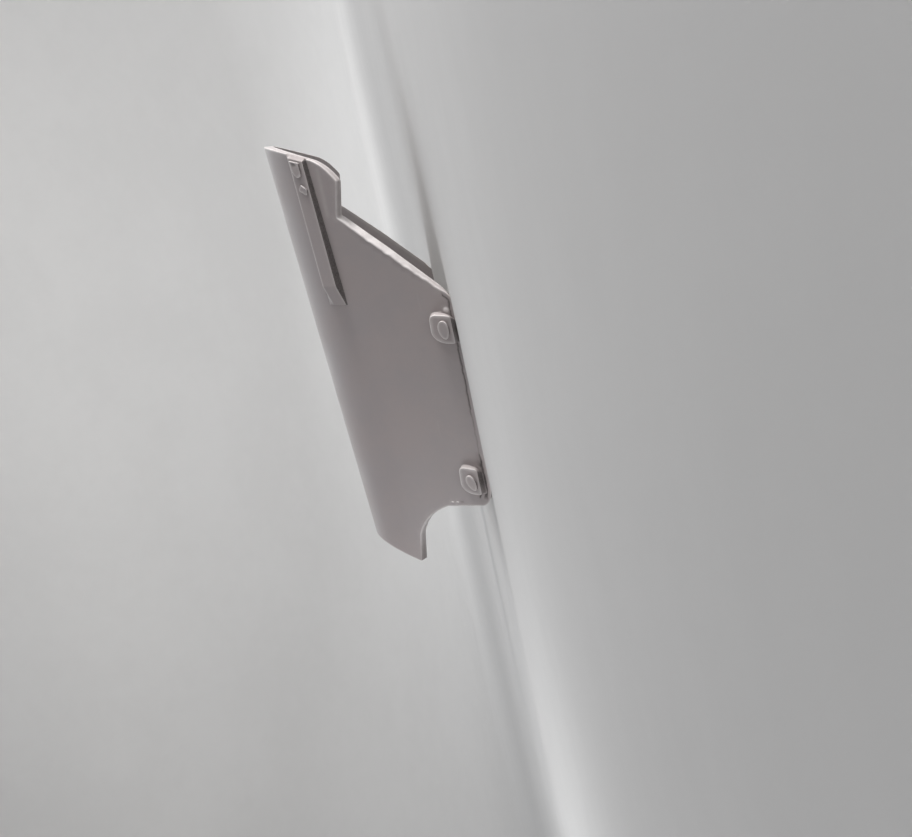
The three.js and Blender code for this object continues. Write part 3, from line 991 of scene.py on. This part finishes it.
def front_rail(material):
    """The rail: a bar with a sloped front wall, a flat face, a steep rear wall and a sloped lower end."""
    feet = np.array([RAIL["foot_front"], RAIL["face_front"], RAIL["face_rear"], RAIL["foot_rear"]])
    top_rim = OUTLINE[0]["end"]
    rim_corners = section_corners(top_rim[0])
    edge_u = float(depth_to_u(np.array(top_rim[0]), top_rim[1]))
    edge_depth = curve_point(rim_corners, edge_u)[0]

    def station(s, u):
        """Where the rail's row that is named s crosses u: the first row follows the top rim."""
        rim = top_rim[0] * curve_point(rim_corners, u)[..., 0] / edge_depth
        slanted = max(s, RAIL_ROWS[1][0]) + RAIL_SLANT * (u - feet[0]) / (feet[3] - feet[0])
        share = np.clip((s - RAIL_RIM) / (RAIL_ROWS[1][0] - RAIL_RIM), 0, 1)
        return rim * (1 - share) + slanted * share

    # The corners of each row: root, front foot, both edges of the face, rear foot and root.
    corner_u = feet[[0, 0, 1, 2, 3, 3]]
    tops = []
    bases = []
    for s, height in rail_rows():
        levels = [RAIL_ROOT, 0.0, height, height, 0.0, RAIL_ROOT]
        corners = [wall(station(s, u), u, level) for u, level in zip(corner_u, levels)]
        reach = min(RAIL_EDGE["most"], max(height * RAIL_EDGE["share"], RAIL_EDGE["least"]))
        path = soften(corners, [0, reach, reach, 0])
        dense = [path[0]]
        for before, after, steps in zip(path, path[1:], RAIL_STEPS):
            dense += [before + (after - before) * k / steps for k in range(1, steps + 1)]
        tops.append(np.array(dense))
        u = feet[0] + (feet[3] - feet[0]) * np.linspace(0, 1, len(dense))
        bases.append(wall(station(s, u), u, RAIL_ROOT))
    rail_mesh(tops, bases, material)


def rail_mesh(tops, bases, material):
    """The rail's closed mesh from its rows over the top and the rows below them in the plate."""
    width = len(tops[0])
    rows = len(tops)
    points = np.vstack(tops + bases)
    base = rows * width
    faces = []
    for r in range(rows - 1):
        for i in range(width - 1):
            a = r * width + i
            faces.append((a, a + 1, a + width + 1, a + width))
            faces.append((base + a, base + a + width, base + a + width + 1, base + a + 1))
        for i in (0, width - 1):
            a = r * width + i
            quad = (a, a + width, base + a + width, base + a)
            faces.append(quad if i == 0 else quad[::-1])
    for r, flip in ((0, False), (rows - 1, True)):
        for i in range(width - 1):
            a = r * width + i
            quad = (a, base + a, base + a + 1, a + 1)
            faces.append(quad[::-1] if flip else quad)
    faces = face_outwards(points, faces)
    edge = np.zeros((rows, width))
    painted_shade = np.zeros((rows, width))
    for r, top in enumerate(tops):
        step = np.diff(top, axis=0)
        step /= np.maximum(np.linalg.norm(step, axis=1, keepdims=True), TINY)
        bend = np.arccos(np.clip(np.sum(step[1:] * step[:-1], axis=1), -1, 1))
        edge[r, 1:-1] = np.clip(bend / RAIL_BEND, 0, 1)
        # Edges that face the rear get less painted highlight; the front foot and the whole rear wall get
        # painted shade.
        edge[r, width // 2:] *= 1 - RAIL_REAR_FADE
        painted_shade[r, :2] = RAIL_FOOT_PAINTED_SHADE
        painted_shade[r, -RAIL_REAR_POINTS:] = 1.0
    marks = point_marks(edge, painted_shade, rows * width)
    add_piece("front_rail_moulding", points, faces, [material], ["front_rail"], marks)


def stud_profile(size, root):
    """A low stud: steep sides, an eased lip and a faintly dished top."""
    height, slope, bevel, dish = (size[label] for label in ("height", "slope", "bevel", "dish"))
    dish_end = (slope + bevel + STUD_DISH_RUN, height - dish)
    path = soften([(0.0, root), (slope, height), dish_end], [bevel])
    across = np.linspace(path[-1][0], size["width"] * STUD_TOP_REACH, STUD_TOP_STEPS + 1)[1:]
    return [tuple(point) for point in path] + [(inset, height - dish) for inset in across]


def add_stud(name, seat, outline, size, material, nodes, hollow=None):
    """A stud as a piece of its own, which stands on a seat."""
    profile = stud_profile(size, STUD_ROOT)
    rings = raised_rings(seat, outline, profile, False, size["height"], hollow)
    edge, painted_shade = ring_marks(profile, outline, hollow)
    raised_piece(name, rings, edge, painted_shade, material, nodes)


def rail_boss(material):
    """The rail's four-cornered boss with painted shade in its hollow."""
    turn = math.radians(BOSS["turn"])
    spin = np.array([[math.cos(turn), math.sin(turn)], [-math.sin(turn), math.cos(turn)]])
    size = dict(BOSS, width=BOSS_CORNERS[1][1] - BOSS_CORNERS[0][1])

    def outline(inset):
        return rounded_outline(BOSS_CORNERS, inset) @ spin

    add_stud("rail_boss_moulding", rail_seat(BOSS), outline, size, material, ["rail_boss"], BOSS_HOLLOW)


def rail_stud(material):
    """The rail's small stud, a rounded diamond."""
    whole = rounded_outline(RAIL_STUD_CORNERS, 0)

    def outline(inset):
        return drawn_in(whole, inset)

    add_stud("rail_stud_moulding", rail_seat(RAIL_STUD), outline, RAIL_STUD, material, ["rail_stud"])


def pad_profile():
    """The pad's wall from its faired foot over its eased edge to its flat face."""
    height, slope, flare = PAD["height"], PAD["slope"], PAD["flare"]
    path = [(-flare, PAD["root"]), (-flare, 0.0), PAD["fairing_end"], (slope, height),
            (slope + PAD["margin"], height)]
    return [tuple(point) for point in soften(path, [0, PAD["fairing"], PAD["edge"]])]


def pad_rings(name, strap):
    """The rings of a strap's pad, with how much wear and painted highlight and how much painted shade they
    have.
    """
    def outline(inset):
        return pad_outline(name, inset)

    profile = pad_profile()
    rings = raised_rings(wall_seat(strap), outline, profile, True, PAD["height"])
    return rings, *ring_marks(profile, outline)


def pad_face(strap):
    """The seat on a pad's flat face."""
    seat = wall_seat(strap)
    seat["origin"] = seat["origin"] + seat["axes"][2] * PAD["height"]
    return seat


def strap_pad(name, strap, material):
    """A pad of the outer side."""
    rings, edge, painted_shade = pad_rings(name, strap)
    raised_piece(f"strap_pad_{name}_moulding", rings, edge, painted_shade, material, [f"strap_pad_{name}"])


def strap_stud(name, strap, material):
    """The oval stud on a pad of the outer side."""
    size = dict(strap, **STRAP_STUD)

    def outline(inset):
        return oval_outline(size, inset)

    nodes = [f"strap_stud_{name}"]
    add_stud(f"strap_stud_{name}_moulding", pad_face(strap), outline, size, material, nodes)


def inner_pad(name, strap, material):
    """A pad of the inner side, in one piece with its stud."""
    size = dict(strap, **STRAP_STUD)

    def outline(inset):
        return oval_outline(size, inset)

    rings, pad_edge, pad_painted_shade = pad_rings(name, strap)
    profile = stud_profile(size, 0.0)
    rings += raised_rings(pad_face(strap), outline, profile, False, size["height"])
    stud_edge, stud_painted_shade = ring_marks(profile, outline)
    edge = np.vstack([pad_edge, stud_edge])
    painted_shade = np.vstack([pad_painted_shade, stud_painted_shade])
    raised_piece(f"inner_pad_{name}_moulding", rings, edge, painted_shade, material, [f"inner_pad_{name}"],
                 mirrored=True)


# Shader effects that the materials share

def start_group(name, inputs, outputs):
    """An empty node group with named sockets: inputs as name, kind and default."""
    tree = bpy.data.node_groups.new(name, "ShaderNodeTree")
    for label, kind, default in inputs:
        socket = tree.interface.new_socket(label, in_out="INPUT", socket_type=kind)
        if default is not None:
            socket.default_value = default
    for label in outputs:
        tree.interface.new_socket(label, in_out="OUTPUT", socket_type="NodeSocketFloat")
    return tree, tree.nodes.new("NodeGroupInput"), tree.nodes.new("NodeGroupOutput")


def noise(tree, vector, scale, detail, roughness):
    """A noise's value between 0 and 1, at a scale that is a number or comes from a socket."""
    node = tree.nodes.new("ShaderNodeTexNoise")
    node.inputs["Detail"].default_value = detail
    node.inputs["Roughness"].default_value = roughness
    tree.links.new(vector, node.inputs["Vector"])
    if isinstance(scale, float):
        node.inputs["Scale"].default_value = scale
    else:
        tree.links.new(scale, node.inputs["Scale"])
    return node.outputs["Fac"]


def remap(tree, value, low, high, to_low=0.0, to_high=1.0, smooth=True):
    """Turns values from low to high into values from to_low to to_high."""
    node = tree.nodes.new("ShaderNodeMapRange")
    node.interpolation_type = "SMOOTHSTEP" if smooth else "LINEAR"
    for label, number in (("From Min", low), ("From Max", high), ("To Min", to_low), ("To Max", to_high)):
        node.inputs[label].default_value = number
    tree.links.new(value, node.inputs["Value"])
    return node.outputs["Result"]


def maths(tree, operation, first, second):
    """One sum of two values, each a number or a socket."""
    node = tree.nodes.new("ShaderNodeMath")
    node.operation = operation
    for socket, value in zip(node.inputs, (first, second)):
        if isinstance(value, (int, float)):
            socket.default_value = value
        else:
            tree.links.new(value, socket)
    return node.outputs[0]


def mottle_group():
    """Faint cloudy unevenness of pigment, from broad clouds down to small patches."""
    patches_per_cloud = 7.0
    broad_share = 0.65
    fine_share = 0.35
    tree, ins, outs = start_group("Pigment mottle", [
        ("Vector", "NodeSocketVector", None),
        ("Clouds per metre", "NodeSocketFloat", 30.0),
    ], ["Mottle"])
    broad = noise(tree, ins.outputs["Vector"], ins.outputs["Clouds per metre"], 2.0, 0.45)
    fine_scale = maths(tree, "MULTIPLY", ins.outputs["Clouds per metre"], patches_per_cloud)
    fine = noise(tree, ins.outputs["Vector"], fine_scale, 3.0, 0.55)
    broad = maths(tree, "MULTIPLY", broad, broad_share)
    mixed = maths(tree, "ADD", broad, maths(tree, "MULTIPLY", fine, fine_share))
    tree.links.new(remap(tree, mixed, 0.36, 0.64), outs.inputs["Mottle"])
    return tree


def grain_group():
    """Height of a moulded satin surface: a fine grain on a slow ripple."""
    tree, ins, outs = start_group("Moulded grain", [
        ("Vector", "NodeSocketVector", None),
        ("Grains per metre", "NodeSocketFloat", 1500.0),
        ("Ripples per metre", "NodeSocketFloat", 120.0),
        ("Ripple share", "NodeSocketFloat", 0.6),
    ], ["Height"])
    grain = noise(tree, ins.outputs["Vector"], ins.outputs["Grains per metre"], 2.0, 0.6)
    ripple = noise(tree, ins.outputs["Vector"], ins.outputs["Ripples per metre"], 1.0, 0.4)
    shared = maths(tree, "MULTIPLY", ripple, ins.outputs["Ripple share"])
    tree.links.new(maths(tree, "ADD", grain, shared), outs.inputs["Height"])
    return tree


def edge_wear_and_highlight_group():
    """Where the edges are lightened with wear and painted highlight: the edge mark broken up by patches."""
    least_wear_and_highlight = 0.75
    tree, ins, outs = start_group("Edge wear and highlight", [
        ("Vector", "NodeSocketVector", None),
        ("Edge", "NodeSocketFloat", 0.0),
        ("Patches per metre", "NodeSocketFloat", 160.0),
    ], ["Rub"])
    patches = noise(tree, ins.outputs["Vector"], ins.outputs["Patches per metre"], 4.0, 0.6)
    wear_and_painted_light = remap(tree, patches, 0.38, 0.6, least_wear_and_highlight, 1.0)
    tree.links.new(maths(tree, "MULTIPLY", wear_and_painted_light, ins.outputs["Edge"]), outs.inputs["Rub"])
    return tree


def painted_shade_group():
    """Painted shade in the creases, round the feet of raised parts and down their rear walls."""
    least_painted_shade = 0.75
    tree, ins, outs = start_group("Painted shade mask", [
        ("Vector", "NodeSocketVector", None),
        ("Recess", "NodeSocketFloat", 0.0),
        ("Specks per metre", "NodeSocketFloat", 700.0),
    ], ["Grime"])
    specks = noise(tree, ins.outputs["Vector"], ins.outputs["Specks per metre"], 3.0, 0.7)
    share = remap(tree, specks, 0.3, 0.7, least_painted_shade, 1.0)
    tree.links.new(maths(tree, "MULTIPLY", share, ins.outputs["Recess"]), outs.inputs["Grime"])
    return tree


def scuff_group():
    """Sparse hairline scuffs, drawn out along the plate."""
    slant = (0.1, 0.25, 0.35)
    drawn_out = (0.06, 1.0, 1.0)
    clusters_per_metre = 24.0
    tree, ins, outs = start_group("Hairline scuffs", [
        ("Vector", "NodeSocketVector", None),
        ("Scuffs per metre", "NodeSocketFloat", 260.0),
    ], ["Scuffs"])
    stretch = tree.nodes.new("ShaderNodeMapping")
    stretch.inputs["Rotation"].default_value = slant
    stretch.inputs["Scale"].default_value = drawn_out
    tree.links.new(ins.outputs["Vector"], stretch.inputs["Vector"])
    lines = noise(tree, stretch.outputs["Vector"], ins.outputs["Scuffs per metre"], 5.0, 0.62)
    lines = remap(tree, lines, 0.62, 0.72)
    sparse = noise(tree, ins.outputs["Vector"], clusters_per_metre, 1.0, 0.5)
    sparse = remap(tree, sparse, 0.5, 0.66)
    tree.links.new(maths(tree, "MULTIPLY", lines, sparse), outs.inputs["Scuffs"])
    return tree


GROUPS = {
    "mottle": mottle_group(),
    "grain": grain_group(),
    "edge wear and highlight": edge_wear_and_highlight_group(),
    "painted_shade": painted_shade_group(),
    "scuffs": scuff_group(),
}


# Materials

def start_material(name):
    """A new material and its shader."""
    material = bpy.data.materials.new(name)
    material.use_nodes = True
    return material, material.node_tree.nodes["Principled BSDF"]


def place_group(material, group, **values):
    """Puts a shared effect into a material. A value is a number or a socket, under its socket's name."""
    node = material.node_tree.nodes.new("ShaderNodeGroup")
    node.node_tree = GROUPS[group]
    for label, value in values.items():
        socket = node.inputs[label.replace("_", " ")]
        if isinstance(value, float):
            socket.default_value = value
        else:
            material.node_tree.links.new(value, socket)
    return node.outputs[0]


def mark(material, label):
    """A mark that the mesh carries at its points, such as the edge mark or the painted shade mark."""
    node = material.node_tree.nodes.new("ShaderNodeAttribute")
    node.attribute_name = label
    return node.outputs["Fac"]


def tint(material, base, colour, share):
    """Mixes a colour into what lies below it by a varying share."""
    node = material.node_tree.nodes.new("ShaderNodeMix")
    node.data_type = "RGBA"
    sockets = {socket.identifier: socket for socket in node.inputs}
    if isinstance(base, tuple):
        sockets["A_Color"].default_value = (*base, 1.0)
    else:
        material.node_tree.links.new(base, sockets["A_Color"])
    sockets["B_Color"].default_value = (*colour, 1.0)
    material.node_tree.links.new(share, sockets["Factor_Float"])
    return next(socket for socket in node.outputs if socket.identifier == "Result_Color")


# The finish of each plastic: the colours of its pigment, of warmer patches, of worn edges with painted
# highlight and of painted shade, its roughness, clouds and grains per metre, the share of slow ripples, the
# height of the relief in metres, and how strongly wear with painted highlight, painted shade and scuffs
# show.
SHELL_LOOK = {
    "colour": (0.345, 0.312, 0.312),
    "warm": (0.36, 0.318, 0.314),
    # The light colour of worn edges and of painted highlight on edges, rims and sides that face the hip;
    # scuffs use it too.
    "rubbed_and_highlit": (0.74, 0.705, 0.7),
    # The dark colour of painted shade.
    "painted_shade_colour": (0.055, 0.048, 0.046),
    "roughness": 0.45,
    "clouds": 28.0,
    "grain": 1700.0,
    "ripple": 2.2,
    "relief": 0.00004,
    "wear_and_highlight": 0.9,
    "painted_shade": 0.85,
    "scuffs": 0.05,
}
INSIDE_LOOK = dict(SHELL_LOOK, colour=(0.30, 0.275, 0.275), warm=(0.315, 0.283, 0.28), roughness=0.62,
                   grain=900.0, relief=0.0001, wear_and_highlight=0.3)
FITTING_LOOK = dict(SHELL_LOOK, colour=(0.36, 0.326, 0.326), warm=(0.375, 0.332, 0.328), roughness=0.38,
                    clouds=90.0, relief=0.00003)
# How much the roughness varies with the pigment, and how wear with painted highlight, painted shade and
# scuffs change it.
ROUGHNESS_SPREAD = 0.04
WEAR_AND_HIGHLIGHT_SMOOTHER = 0.08
PAINTED_SHADE_ROUGHER = 0.2
SCUFF_ROUGHER = 0.1
PLASTIC_IOR = 1.49


def moulded_plastic(name, look):
    """Satin moulded plastic: mottled pigment, edges lightened with wear and painted highlight, painted
    shade in the recesses and a fine grain.
    """
    material, shader = start_material(name)
    tree = material.node_tree
    coordinates = tree.nodes.new("ShaderNodeTexCoord").outputs["Object"]
    mottle = place_group(material, "mottle", Vector=coordinates, Clouds_per_metre=look["clouds"])
    wear_and_highlight = place_group(material, "edge wear and highlight", Vector=coordinates, Edge=mark(material, "edge"))
    painted_shade = place_group(material, "painted_shade", Vector=coordinates, Recess=mark(material, "painted_shade"))
    scuffs = place_group(material, "scuffs", Vector=coordinates)
    colour = tint(material, look["colour"], look["warm"], mottle)
    # Edges are lightened with wear and painted highlight, scuffs with wear, and recesses, feet and rear
    # walls darkened with painted shade.
    colour = tint(material, colour, look["rubbed_and_highlit"], maths(tree, "MULTIPLY", wear_and_highlight, look["wear_and_highlight"]))
    colour = tint(material, colour, look["rubbed_and_highlit"], maths(tree, "MULTIPLY", scuffs, look["scuffs"]))
    colour = tint(material, colour, look["painted_shade_colour"], maths(tree, "MULTIPLY", painted_shade, look["painted_shade"]))
    tree.links.new(colour, shader.inputs["Base Color"])
    smoothest = look["roughness"] - ROUGHNESS_SPREAD
    roughest = look["roughness"] + ROUGHNESS_SPREAD
    rough = remap(tree, mottle, 0.0, 1.0, smoothest, roughest, False)
    rough = maths(tree, "SUBTRACT", rough, maths(tree, "MULTIPLY", wear_and_highlight, WEAR_AND_HIGHLIGHT_SMOOTHER))
    rough = maths(tree, "ADD", rough, maths(tree, "MULTIPLY", painted_shade, PAINTED_SHADE_ROUGHER))
    rough = maths(tree, "ADD", rough, maths(tree, "MULTIPLY", scuffs, SCUFF_ROUGHER))
    tree.links.new(rough, shader.inputs["Roughness"])
    height = place_group(material, "grain", Vector=coordinates, Grains_per_metre=look["grain"],
                         Ripple_share=look["ripple"])
    bump = tree.nodes.new("ShaderNodeBump")
    bump.inputs["Distance"].default_value = look["relief"]
    tree.links.new(height, bump.inputs["Height"])
    tree.links.new(bump.outputs["Normal"], shader.inputs["Normal"])
    shader.inputs["IOR"].default_value = PLASTIC_IOR
    return material


# Studio, in metres and watts

FLOOR_RADIUS = 1.7
FLOOR_BEND = 1.0
FLOOR_RINGS = (0.6, 1.4, FLOOR_RADIUS)
BACKDROP_HEIGHT = 2.4
BEND_STEPS = 14
STAGE_STEPS = 96
FLOOR_COLOUR = (0.63, 0.626, 0.62)
FLOOR_PALER = (0.65, 0.646, 0.64)
FLOOR_CLOUDS = 3.0
FLOOR_ROUGHNESS = 0.9

# Round lights, each in a direction from the plate, and how far away. They shine on the middle of the plate,
# or on the place named as aim.
LIT_PLACE = (0.0, 0.0, 0.05)
LIGHTS = [
    {"name": "rim_light", "direction": (0.0, 0.72, 0.66), "distance": 1.9, "size": 2.0, "power": 10.5,
     "colour": (0.97, 0.985, 1.0)},
    {"name": "end_light", "direction": (0.985, -0.08, 0.12), "distance": 1.9, "size": 0.4, "power": 37.0,
     "colour": (1.0, 0.985, 0.97)},
    {"name": "key_light", "direction": (0.88, -0.28, 0.36), "distance": 1.9, "size": 0.2, "power": 7.6,
     "colour": (1.0, 0.99, 0.98)},
    {"name": "fill_light", "direction": (-0.8, -0.45, 0.5), "distance": 0.6, "size": 0.4, "power": 1.1,
     "colour": (0.98, 0.99, 1.0)},
    {"name": "backdrop_light", "direction": (0.0, 0.95, 0.9), "distance": 1.7, "size": 1.2, "power": 9.5,
     "colour": (1.0, 1.0, 1.0), "aim": (0.0, 2.6, 0.3)},
]
AIR_COLOUR = (0.9, 0.93, 1.0, 1.0)
AIR_STRENGTH = 0.2


def floor_profile():
    """Radius and height of the floor's rings, out along the floor, round the bend and up the backdrop."""
    profile = [(radius, 0.0) for radius in FLOOR_RINGS]
    for turn in np.linspace(0, math.pi / 2, BEND_STEPS + 1)[1:]:
        profile.append((FLOOR_RADIUS + FLOOR_BEND * math.sin(turn), FLOOR_BEND * (1 - math.cos(turn))))
    profile.append((FLOOR_RADIUS + FLOOR_BEND, BACKDROP_HEIGHT))
    return profile


def studio_floor():
    """A round pale floor that sweeps up into a backdrop all the way round."""
    points = [(0.0, 0.0, 0.0)]
    faces = []
    for k, (radius, height) in enumerate(floor_profile()):
        for i in range(STAGE_STEPS):
            angle = 2 * math.pi * i / STAGE_STEPS
            points.append((radius * math.cos(angle), radius * math.sin(angle), height))
        start = 1 + k * STAGE_STEPS
        if k == 0:
            faces += [(0, start + i, start + (i + 1) % STAGE_STEPS) for i in range(STAGE_STEPS)]
        else:
            faces += ring_faces(start, start - STAGE_STEPS, STAGE_STEPS)
    mesh = bpy.data.meshes.new("studio_floor")
    mesh.from_pydata(points, [], faces)
    for polygon in mesh.polygons:
        polygon.use_smooth = True
    mesh.materials.append(floor_paper())
    floor = bpy.data.objects.new("studio_floor", mesh)
    bpy.context.scene.collection.objects.link(floor)


def floor_paper():
    """Matt pale paper with faint broad clouds."""
    material, shader = start_material("floor_paper")
    coordinates = material.node_tree.nodes.new("ShaderNodeTexCoord").outputs["Object"]
    mottle = place_group(material, "mottle", Vector=coordinates, Clouds_per_metre=FLOOR_CLOUDS)
    colour = tint(material, FLOOR_COLOUR, FLOOR_PALER, mottle)
    material.node_tree.links.new(colour, shader.inputs["Base Color"])
    shader.inputs["Roughness"].default_value = FLOOR_ROUGHNESS
    return material


def area_light(values):
    """One soft round light, which the camera doesn't see."""
    data = bpy.data.lights.new(values["name"], "AREA")
    data.shape = "DISK"
    data.size = values["size"]
    data.energy = values["power"]
    data.color = values["colour"]
    light = bpy.data.objects.new(values["name"], data)
    way = Vector(values["direction"]).normalized()
    light.location = Vector(LIT_PLACE) + way * values["distance"]
    beam = Vector(values["aim"]) - light.location if "aim" in values else -way
    light.rotation_euler = beam.to_track_quat("-Z", "Y").to_euler()
    light.visible_camera = False
    bpy.context.scene.collection.objects.link(light)


def studio_light():
    """The round lights, and a weak even light from all round."""
    for values in LIGHTS:
        area_light(values)
    world = bpy.data.worlds.new("studio_air")
    world.use_nodes = True
    background = world.node_tree.nodes["Background"]
    background.inputs["Color"].default_value = AIR_COLOUR
    background.inputs["Strength"].default_value = AIR_STRENGTH
    bpy.context.scene.world = world
    bpy.context.scene.view_settings.view_transform = "Standard"


def photo_camera():
    """The camera at the photograph's angle to the plate, above the floor."""
    data = bpy.data.cameras.new("photo_camera")
    data.lens = LENS
    data.sensor_width = SENSOR_WIDTH
    data.clip_start = NEAREST_SEEN
    data.clip_end = FURTHEST_SEEN
    camera = bpy.data.objects.new("photo_camera", data)
    back = -SIGHT.normalized()
    right = IMAGE_UP.cross(back).normalized()
    turn = Matrix((right, back.cross(right), back)).transposed()
    camera.matrix_world = Matrix.Translation(EYE) @ turn.to_4x4()
    bpy.context.scene.collection.objects.link(camera)
    bpy.context.scene.camera = camera


# The scene

photo_camera()
studio_floor()
studio_light()

shell = moulded_plastic("moulded_shell", SHELL_LOOK)
shell_inside = moulded_plastic("shell_inside", INSIDE_LOOK)
fitting = moulded_plastic("moulded_fitting", FITTING_LOOK)
thigh_plate([shell, shell_inside])
front_rail(shell)
rail_boss(fitting)
rail_stud(fitting)
for strap_name, strap_values in STRAPS.items():
    strap_pad(strap_name, strap_values, shell)
    strap_stud(strap_name, strap_values, fitting)
    inner_pad(strap_name, strap_values, shell)
